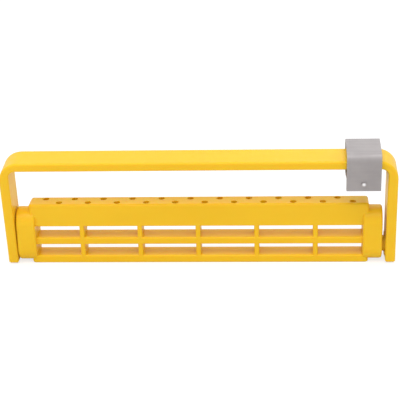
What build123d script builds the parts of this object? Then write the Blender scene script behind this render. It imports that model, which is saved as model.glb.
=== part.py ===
from build123d import *
import os

# Dental bur block: a moulded holder with two staggered rows of bur sockets,
# a retaining bail hinged on its ends, and a folded metal strap that slides on the bail.
# The long side lies along X, the front faces -Y, and Z = 0 is the face it stands on.

# Sockets for the bur shanks
socket_pitch = 11.0
socket_columns = 11
socket_diameter = 2.5
row_spacing = 3.6

# Block: storeys from the base up
block_length = 127.4
block_depth = 8.0
base_height = 3.0
window_height = 4.6
shelf_height = 2.8
header_height = 9.0
rib_width = 1.8
rib_count = 5

# Rounded and broken edges of the moulded block
block_corner_radius = 1.2
block_top_radius = 0.9
block_base_chamfer = 0.3
window_edge_radius = 0.6

# End bosses that carry the bail
boss_overlap = 2.1
boss_width = 7.15
boss_radius = 5.6
boss_top_centre_height = 15.9
boss_edge_radius = 0.8
boss_inner_chamfer = 0.5

# Bail, measured from its pivot
pivot_height = 6.1
bail_lean = 5.5
bail_reach = 37.1
bail_foot = 5.2
bail_depth = 11.5
bar_thickness = 3.3
leg_thickness = 3.7
bail_outer_radius = 7.5
bail_inner_radius = 2.5
bail_edge_radius = 0.8
bail_inner_chamfer = 0.45
bail_side_shift = 0.5

# Hinge: a hub and a stud on each leg, in a blind bore of the boss
hub_radius = 4.6
hub_thickness = 0.25
hub_running_gap = 0.55
stud_diameter = 6.0
stud_length = 3.0
stud_clearance = 0.05
bore_end_gap = 0.5

# Strap: a metal strip folded round the bar and riveted at its tail
strap_width = 12.5
strap_leg_gap = 2.6
strap_thickness = 1.0
strap_front_room = 0.4
strap_headroom = 2.2
strap_rear_room = 2.3
strap_belly_drop = 6.3
strap_belly_inset = 1.5
strap_tail_drop = 7.9
strap_tail_length = 4.2
strap_layer_gap = 0.1
strap_front_bend = 2.2
strap_rear_bend = 1.5
strap_belly_bend = 2.5
strap_tail_bend = 0.9
rivet_shank_diameter = 1.0
rivet_head_diameter = 1.9
rivet_head_height = 0.35
rivet_below_bend = 1.5

# Heights and places that follow
lower_window_z = base_height
shelf_z = lower_window_z + window_height
upper_window_z = shelf_z + shelf_height
header_z = upper_window_z + window_height
block_height = header_z + header_height
rib_pitch = 2 * socket_pitch
boss_inner_x = block_length / 2 - boss_overlap
boss_outer_x = boss_inner_x + boss_width
leg_inner_x = boss_outer_x + hub_running_gap + hub_thickness
leg_outer_x = leg_inner_x + leg_thickness
pivot_axis = Axis((0, 0, pivot_height), (1, 0, 0))
bar_underside = bail_reach - bar_thickness
strap_centre_x = leg_inner_x - strap_leg_gap - strap_width / 2


def rib_positions():
    first = -(rib_count - 1) / 2 * rib_pitch
    return [first + i * rib_pitch for i in range(rib_count)]


def window_spans():
    walls = [-boss_inner_x - rib_width / 2] + rib_positions() + [boss_inner_x + rib_width / 2]
    return [(a + rib_width / 2, b - rib_width / 2) for a, b in zip(walls, walls[1:])]


def socket_positions():
    first = -(socket_columns - 1) / 2 * socket_pitch
    stagger = socket_pitch / 4
    places = []
    for i in range(socket_columns):
        places.append((first + i * socket_pitch - stagger, row_spacing / 2))
        places.append((first + i * socket_pitch + stagger, -row_spacing / 2))
    return places


def make_block():
    block = Pos(0, 0, block_height / 2) * Box(block_length, block_depth, block_height)
    block = fillet(block.edges().filter_by(Axis.Z), block_corner_radius)
    block = fillet(block.edges().group_by(Axis.Z)[-1], block_top_radius)
    return chamfer(block.edges().group_by(Axis.Z)[0], block_base_chamfer)


def make_boss():
    """One end boss on the +X side: an upright slot-shaped bar with rounded rims."""
    height = boss_top_centre_height - pivot_height
    profile = Plane.YZ * Pos(0, pivot_height + height / 2) * SlotCenterToCenter(height, 2 * boss_radius, rotation=90)
    boss = Pos(boss_inner_x, 0, 0) * extrude(profile, boss_width)
    boss = chamfer(boss.edges().group_by(Axis.X)[0], boss_inner_chamfer)
    boss = fillet(boss.edges().group_by(Axis.X)[-1], boss_edge_radius)
    bore_depth = stud_length + bore_end_gap + bail_side_shift - hub_running_gap
    bore = Cylinder(stud_diameter / 2 + stud_clearance, bore_depth, rotation=(0, 90, 0))
    return boss - Pos(boss_outer_x - bore_depth / 2, 0, pivot_height) * bore


def make_window(span, bottom):
    width = span[1] - span[0]
    middle = (span[0] + span[1]) / 2
    return Pos(middle, 0, bottom + window_height / 2) * Box(width, 4 * block_depth, window_height)


def window_rims(body):
    """The window edges in the front and rear faces, apart from those on the bosses."""
    rims = []
    for edge in body.edges().filter_by(lambda e: e.geom_type == GeomType.LINE):
        centre = edge.center()
        on_face = abs(abs(centre.Y) - block_depth / 2) < 0.01
        inside = base_height - 0.01 < centre.Z < header_z + 0.01
        flat = abs(edge.tangent_at(0.5).Y) < 0.01
        if on_face and inside and flat and abs(centre.X) < boss_inner_x - 0.01:
            rims.append(edge)
    return rims


def make_body():
    body = make_block()
    for span in window_spans():
        for bottom in (lower_window_z, upper_window_z):
            body -= make_window(span, bottom)
    boss = make_boss()
    body = body + boss + boss.mirror(Plane.YZ)
    body = fillet(window_rims(body), window_edge_radius)
    socket = Cylinder(socket_diameter / 2, header_height + 2, align=(Align.CENTER, Align.CENTER, Align.MIN))
    for x, y in socket_positions():
        body -= Pos(x, y, header_z - 1) * socket
    return body


def lean(shape):
    """Move what rides on the bail from upright and centred to its place at rest."""
    return Pos(bail_side_shift, 0, 0) * shape.rotate(pivot_axis, bail_lean)


def at_foot(edge):
    """An edge of the bail's two lower end faces."""
    return edge.center().Z < pivot_height - bail_foot + 0.01


def along_outline(edge):
    """An edge of the bail's front or rear face, apart from those at the feet."""
    return abs(abs(edge.center().Y) - bail_depth / 2) < 0.01 and not at_foot(edge)


def on_inner_outline(edge):
    centre = edge.center()
    under_bar = centre.Z < pivot_height + bar_underside + 0.01
    return along_outline(edge) and under_bar and abs(centre.X) < leg_inner_x + 0.01


def on_outer_outline(edge):
    return along_outline(edge) and not on_inner_outline(edge)


def make_bail():
    tall = bail_foot + bail_reach
    outer = Pos(0, tall / 2) * Rectangle(2 * leg_outer_x, tall)
    outer = fillet(outer.vertices().group_by(Axis.Y)[-1], bail_outer_radius)
    opening = tall - bar_thickness
    inner = Pos(0, opening / 2) * Rectangle(2 * leg_inner_x, opening)
    inner = fillet(inner.vertices().group_by(Axis.Y)[-1], bail_inner_radius)
    face = Plane.XZ * Pos(0, pivot_height - bail_foot) * (outer - inner)
    bail = extrude(face, bail_depth / 2, both=True)
    bail = fillet(bail.edges().filter_by(on_outer_outline), bail_edge_radius)
    bail = chamfer(bail.edges().filter_by(on_inner_outline) + bail.edges().filter_by(at_foot), bail_inner_chamfer)
    hub_length = hub_thickness + leg_thickness / 2
    stud_reach = leg_inner_x - hub_thickness - stud_length
    hub = Cylinder(hub_radius, hub_length, rotation=(0, 90, 0))
    stud = Cylinder(stud_diameter / 2, leg_inner_x - stud_reach, rotation=(0, 90, 0))
    for side in (-1, 1):
        bail += Pos(side * (leg_inner_x - hub_thickness + hub_length / 2), 0, pivot_height) * hub
        bail += Pos(side * (leg_inner_x + stud_reach) / 2, 0, pivot_height) * stud
    return lean(bail)


def strap_route():
    """Corners of the strip's middle line, as depth and height in the upright bail."""
    half = strap_thickness / 2
    front = -bail_depth / 2 - strap_front_room - half
    rear = bail_depth / 2 + strap_rear_room + half
    top = pivot_height + bail_reach + strap_headroom + half
    belly = bail_depth / 2 - strap_belly_inset
    belly_floor = pivot_height + bar_underside - strap_belly_drop + half
    end = pivot_height + bar_underside - strap_tail_drop
    bend = end + strap_tail_length + half
    tail = front + strap_thickness + strap_layer_gap
    return [(front, end), (front, top), (rear, top), (belly, belly_floor), (tail, bend), (tail, end)]


def make_strap():
    bends = [strap_front_bend, strap_rear_bend, strap_belly_bend, strap_tail_bend]
    points = [(0, y, z) for y, z in strap_route()]
    route = FilletPolyline(*points, radius=bends)
    section = Plane(route @ 0, x_dir=(1, 0, 0), z_dir=route % 0) * Rectangle(strap_width, strap_thickness)
    strap = sweep(section, path=route, transition=Transition.TRANSFORMED)
    strap -= rivet_place() * Cylinder(rivet_shank_diameter / 2, 4 * strap_thickness, rotation=(90, 0, 0))
    return lean(Pos(strap_centre_x, 0, 0) * strap)


def rivet_place():
    """Middle of the riveted double layer, in the upright bail."""
    route = strap_route()
    between = (route[0][0] + route[-1][0]) / 2
    bend = route[-2][1]
    return Pos(0, between, bend - strap_thickness / 2 - rivet_below_bend)


def make_rivet():
    grip = 2 * strap_thickness + strap_layer_gap
    rivet = Cylinder(rivet_shank_diameter / 2, grip, rotation=(90, 0, 0))
    head = Cylinder(rivet_head_diameter / 2, rivet_head_height, rotation=(90, 0, 0))
    for side in (-1, 1):
        rivet += Pos(0, side * (grip + rivet_head_height) / 2, 0) * head
    return lean(Pos(strap_centre_x, 0, 0) * rivet_place() * rivet)


os.makedirs("parts", exist_ok=True)
nodes = {
    "body": make_body(),
    "bail": make_bail(),
    "strap": make_strap(),
    "strap_rivet": make_rivet(),
}
for name, shape in nodes.items():
    export_step(shape, f"parts/{name}.step")
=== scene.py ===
"""Looks of the dental bur block: amber moulded plastic, a grey folded strap, a white studio."""
import math

import bpy
from mathutils import Matrix, Vector


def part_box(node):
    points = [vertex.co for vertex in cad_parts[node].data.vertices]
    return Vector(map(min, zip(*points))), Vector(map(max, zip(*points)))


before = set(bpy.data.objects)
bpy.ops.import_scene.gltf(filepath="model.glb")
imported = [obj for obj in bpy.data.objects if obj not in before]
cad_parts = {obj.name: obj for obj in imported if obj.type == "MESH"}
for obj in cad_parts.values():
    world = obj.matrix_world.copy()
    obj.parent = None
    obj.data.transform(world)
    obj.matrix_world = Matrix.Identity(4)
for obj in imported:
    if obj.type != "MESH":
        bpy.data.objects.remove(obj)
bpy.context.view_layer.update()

MM = 0.001

# Camera: focal length in photo pixels, direction and roll in degrees, the rest in millimetres
PHOTO_WIDTH = 400
CAMERA_FOCAL = 1238.6
CAMERA_AZIMUTH = 4.23
CAMERA_ELEVATION = 23.03
CAMERA_ROLL = -1.97
CAMERA_TARGET_X = 0.90
CAMERA_TARGET_Z = 24.01
CAMERA_DISTANCE = 464.5
CAMERA_CLIP_START = 10
SENSOR_WIDTH = 36.0

# Lamps: two discs over the block, in metres and watts, that shine on a point inside it
LAMP_WIDTH = 0.7
LAMP_TARGET = (0, 0, 0.02)
KEY_LAMP_PLACE = (-0.05, -0.38, 0.93)
KEY_LAMP_POWER = 4.2
BACK_LAMP_PLACE = (0.3, 0.7, 0.8)
BACK_LAMP_POWER = 1.5

# World: its strength where it is seen or mirrored, and where it only lights
WORLD_SEEN = 1.0
WORLD_FILL = 0.8

# Floor: its width in metres, and how far it lies under the block in millimetres. Where both lie
# in one plane, their faces fight when they are seen from below.
FLOOR_WIDTH = 6
FLOOR_GAP = 0.02

# Floor: what it throws back as light, and the weaker share that the camera sees on top of a glow
FLOOR_REFLECTANCE = 0.8
FLOOR_SEEN_REFLECTANCE = 0.35
FLOOR_SEEN_GLOW = 0.72

# Noise values that count as the low and the high end of a pattern
NOISE_LOW = 0.3
NOISE_HIGH = 0.7

# Plastic: colours of the flow clouds, range of roughness, patterns per metre, depths in millimetres
PLASTIC_COLOURS = ((0.87, 0.53, 0.014), (0.91, 0.56, 0.018))
PLASTIC_ROUGHNESS = (0.30, 0.42)
PLASTIC_CLOUDS = 60
PLASTIC_CLOUD_STRETCH = (0.35, 1, 1)
PLASTIC_SWIRL = 420
PLASTIC_SWIRL_DEPTH = 0.012
PLASTIC_GRAIN = 2600
PLASTIC_GRAIN_DEPTH = 0.004
PLASTIC_SURFACE = {
    "IOR": 1.49,
    "Specular IOR Level": 0.22,
    "Subsurface Weight": 0.35,
    "Subsurface Radius": (1.0, 0.5, 0.1),
    "Subsurface Scale": 1.6 * MM,
}

# Sheet metal: the same kinds of values
SHEET_COLOURS = ((0.295, 0.268, 0.269), (0.34, 0.311, 0.309))
SHEET_ROUGHNESS = (0.42, 0.6)
SHEET_CLOUDS = 150
SHEET_BRUSHING = 900
SHEET_BRUSHING_STRETCH = (0.06, 1, 1)
SHEET_BRUSHING_DEPTH = 0.01
SHEET_SURFACE = {"Metallic": 0.25, "IOR": 2.0}

# Rivet: a painted highlight, near white in the middle of each head, that fades to the rivet's grey at
# the rim between these shares of its head's radius
RIVET_HIGHLIGHT_AND_GREY = ((0.93, 0.92, 0.93), (0.40, 0.37, 0.37))
RIVET_HIGHLIGHT_SHARE = 0.25
RIVET_HIGHLIGHT_FADE_SHARE = 0.85
RIVET_ROUGHNESS = (0.3, 0.42)
RIVET_GRAIN = 2000
RIVET_GRAIN_DEPTH = 0.004
RIVET_SURFACE = {"Metallic": 0.6}


def make_camera():
    azimuth = math.radians(CAMERA_AZIMUTH)
    elevation = math.radians(CAMERA_ELEVATION)
    roll = math.radians(CAMERA_ROLL)
    level = Vector((math.cos(azimuth), math.sin(azimuth), 0))
    outward = Vector((math.sin(azimuth), -math.cos(azimuth), 0))
    back = math.cos(elevation) * outward + Vector((0, 0, math.sin(elevation)))
    upright = back.cross(level)
    right = math.cos(roll) * level + math.sin(roll) * upright
    up = -math.sin(roll) * level + math.cos(roll) * upright
    place = Vector((CAMERA_TARGET_X, 0, CAMERA_TARGET_Z)) * MM + back * CAMERA_DISTANCE * MM
    data = bpy.data.cameras.new("camera")
    data.sensor_width = SENSOR_WIDTH
    data.lens = CAMERA_FOCAL / PHOTO_WIDTH * SENSOR_WIDTH
    data.clip_start = CAMERA_CLIP_START * MM
    camera = bpy.data.objects.new("camera", data)
    turn = Matrix((right, up, back)).transposed()
    camera.matrix_world = Matrix.Translation(place) @ turn.to_4x4()
    bpy.context.scene.collection.objects.link(camera)
    bpy.context.scene.camera = camera


def add_node(tree, kind, inputs=None, **settings):
    """Add a node with its settings and the values of its sockets."""
    node = tree.nodes.new(kind)
    for name, value in settings.items():
        setattr(node, name, value)
    for socket, value in (inputs or {}).items():
        node.inputs[socket].default_value = value
    return node


class Finish:
    """A material in the making, with short ways to add and join its nodes."""

    def __init__(self, name, surface):
        self.material = bpy.data.materials.new(name)
        self.material.use_nodes = True
        self.tree = self.material.node_tree
        self.surface = self.tree.nodes["Principled BSDF"]
        for socket, value in surface.items():
            self.surface.inputs[socket].default_value = value
        self.coords = self.add("ShaderNodeTexCoord").outputs["Object"]

    def add(self, kind, inputs=None, **settings):
        return add_node(self.tree, kind, inputs, **settings)

    def link(self, source, target):
        self.tree.links.new(source, target)

    def stretched(self, stretch):
        """The piece's own coordinates, stretched along X, Y and Z."""
        place = self.add("ShaderNodeMapping", {"Scale": stretch})
        self.link(self.coords, place.inputs["Vector"])
        return place.outputs["Vector"]

    def noise(self, scale, detail, stretch=(1, 1, 1)):
        noise = self.add("ShaderNodeTexNoise", {"Scale": scale, "Detail": detail})
        self.link(self.stretched(stretch), noise.inputs["Vector"])
        return noise.outputs["Fac"]

    def spread(self, value, low, high, start=NOISE_LOW, end=NOISE_HIGH):
        """Map a value between start and end onto the range from low to high."""
        limits = {"From Min": start, "From Max": end, "To Min": low, "To Max": high}
        node = self.add("ShaderNodeMapRange", limits)
        self.link(value, node.inputs["Value"])
        return node.outputs["Result"]

    def paint(self, value, colours):
        """Blend the base colour from the first to the second as the value goes from 0 to 1."""
        first, second = colours
        node = self.add("ShaderNodeMix", {"A": (*first, 1), "B": (*second, 1)}, data_type="RGBA")
        self.link(value, node.inputs["Factor"])
        self.link(node.outputs["Result"], self.surface.inputs["Base Color"])

    def roughen(self, value, limits):
        self.link(self.spread(value, *limits), self.surface.inputs["Roughness"])

    def emboss(self, *layers):
        """Raise the surface by one or more layers, each a pattern and its depth in millimetres."""
        normal = None
        for value, depth in layers:
            node = self.add("ShaderNodeBump", {"Distance": depth * MM})
            self.link(value, node.inputs["Height"])
            if normal is not None:
                self.link(normal, node.inputs["Normal"])
            normal = node.outputs["Normal"]
        self.link(normal, self.surface.inputs["Normal"])


def plastic(name):
    """Amber moulded plastic: fine spark-eroded grain, faint flow clouds, a satin gloss."""
    finish = Finish(name, PLASTIC_SURFACE)
    clouds = finish.noise(PLASTIC_CLOUDS, detail=4, stretch=PLASTIC_CLOUD_STRETCH)
    grain = finish.noise(PLASTIC_GRAIN, detail=2)
    swirl = finish.noise(PLASTIC_SWIRL, detail=3)
    finish.paint(finish.spread(clouds, 0, 1), PLASTIC_COLOURS)
    finish.roughen(swirl, PLASTIC_ROUGHNESS)
    finish.emboss((swirl, PLASTIC_SWIRL_DEPTH), (grain, PLASTIC_GRAIN_DEPTH))
    return finish.material


def sheet_metal(name):
    """Matte grey sheet metal with fine brushed grain."""
    finish = Finish(name, SHEET_SURFACE)
    brushed = finish.noise(SHEET_BRUSHING, detail=4, stretch=SHEET_BRUSHING_STRETCH)
    clouds = finish.noise(SHEET_CLOUDS, detail=3)
    finish.paint(finish.spread(clouds, 0, 1), SHEET_COLOURS)
    finish.roughen(brushed, SHEET_ROUGHNESS)
    finish.emboss((brushed, SHEET_BRUSHING_DEPTH))
    return finish.material


def rivet_metal(name):
    """Grey turned rivet with a painted highlight: near white in the middle of each head, fading to
    grey at the rim.
    """
    finish = Finish(name, RIVET_SURFACE)
    low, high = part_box("strap_rivet")
    centre = (Vector(low) + Vector(high)) / 2
    radius = (high[0] - low[0]) / 2
    distance = finish.add("ShaderNodeVectorMath", {1: (centre.x, 0, centre.z)}, operation="DISTANCE")
    finish.link(finish.stretched((1, 0, 1)), distance.inputs[0])
    highlight_end = RIVET_HIGHLIGHT_SHARE * radius
    highlight_fade_start = RIVET_HIGHLIGHT_FADE_SHARE * radius
    # Painted highlight: near white in the middle of the head, fading to the rivet's grey towards the
    # rim.
    finish.paint(finish.spread(distance.outputs["Value"], 0, 1, highlight_end, highlight_fade_start), RIVET_HIGHLIGHT_AND_GREY)
    grain = finish.noise(RIVET_GRAIN, detail=2)
    finish.roughen(grain, RIVET_ROUGHNESS)
    finish.emboss((grain, RIVET_GRAIN_DEPTH))
    return finish.material


def dress(node, material):
    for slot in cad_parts[node].material_slots:
        slot.material = material


def grey(level):
    return (level, level, level, 1)


def floor_white():
    """Plain white where it lights the block, near white with a soft shadow where it is seen."""
    material = bpy.data.materials.new("floor_white")
    material.use_nodes = True
    tree = material.node_tree
    tree.nodes.clear()
    output = add_node(tree, "ShaderNodeOutputMaterial")
    path = add_node(tree, "ShaderNodeLightPath")
    plain = add_node(tree, "ShaderNodeBsdfDiffuse", {"Color": grey(FLOOR_REFLECTANCE)})
    shaded = add_node(tree, "ShaderNodeBsdfDiffuse", {"Color": grey(FLOOR_SEEN_REFLECTANCE)})
    glow = add_node(tree, "ShaderNodeEmission", {"Strength": FLOOR_SEEN_GLOW})
    seen = add_node(tree, "ShaderNodeAddShader")
    mix = add_node(tree, "ShaderNodeMixShader")
    tree.links.new(shaded.outputs[0], seen.inputs[0])
    tree.links.new(glow.outputs[0], seen.inputs[1])
    tree.links.new(path.outputs["Is Camera Ray"], mix.inputs[0])
    tree.links.new(plain.outputs[0], mix.inputs[1])
    tree.links.new(seen.outputs[0], mix.inputs[2])
    tree.links.new(mix.outputs[0], output.inputs["Surface"])
    return material


def make_floor():
    bpy.ops.mesh.primitive_plane_add(size=FLOOR_WIDTH, location=(0, 0, -FLOOR_GAP * MM))
    floor = bpy.context.object
    floor.name = "floor"
    floor.data.materials.append(floor_white())


def make_world():
    """White where it is seen or mirrored, a soft fill elsewhere."""
    world = bpy.data.worlds.new("studio")
    bpy.context.scene.world = world
    world.use_nodes = True
    tree = world.node_tree
    background = tree.nodes["Background"]
    background.inputs["Color"].default_value = grey(1)
    path = add_node(tree, "ShaderNodeLightPath")
    shown = path.outputs["Is Camera Ray"]
    for ray in ("Is Glossy Ray", "Is Transmission Ray"):
        either = add_node(tree, "ShaderNodeMath", operation="MAXIMUM")
        tree.links.new(shown, either.inputs[0])
        tree.links.new(path.outputs[ray], either.inputs[1])
        shown = either.outputs[0]
    strength = add_node(tree, "ShaderNodeMapRange", {"To Min": WORLD_FILL, "To Max": WORLD_SEEN})
    tree.links.new(shown, strength.inputs["Value"])
    tree.links.new(strength.outputs["Result"], background.inputs["Strength"])


def make_lamp(name, place, power):
    data = bpy.data.lights.new(name, "AREA")
    data.shape = "DISK"
    data.size = LAMP_WIDTH
    data.energy = power
    lamp = bpy.data.objects.new(name, data)
    lamp.location = place
    aim = Vector(LAMP_TARGET) - Vector(place)
    lamp.rotation_euler = aim.to_track_quat("-Z", "Y").to_euler()
    bpy.context.scene.collection.objects.link(lamp)


make_camera()
dress("body", plastic("block_plastic"))
dress("bail", plastic("bail_plastic"))
dress("strap", sheet_metal("strap_metal"))
dress("strap_rivet", rivet_metal("rivet_metal"))
make_floor()
make_world()
make_lamp("key_lamp", KEY_LAMP_PLACE, KEY_LAMP_POWER)
make_lamp("back_lamp", BACK_LAMP_PLACE, BACK_LAMP_POWER)
bpy.context.scene.view_settings.view_transform = "Standard"
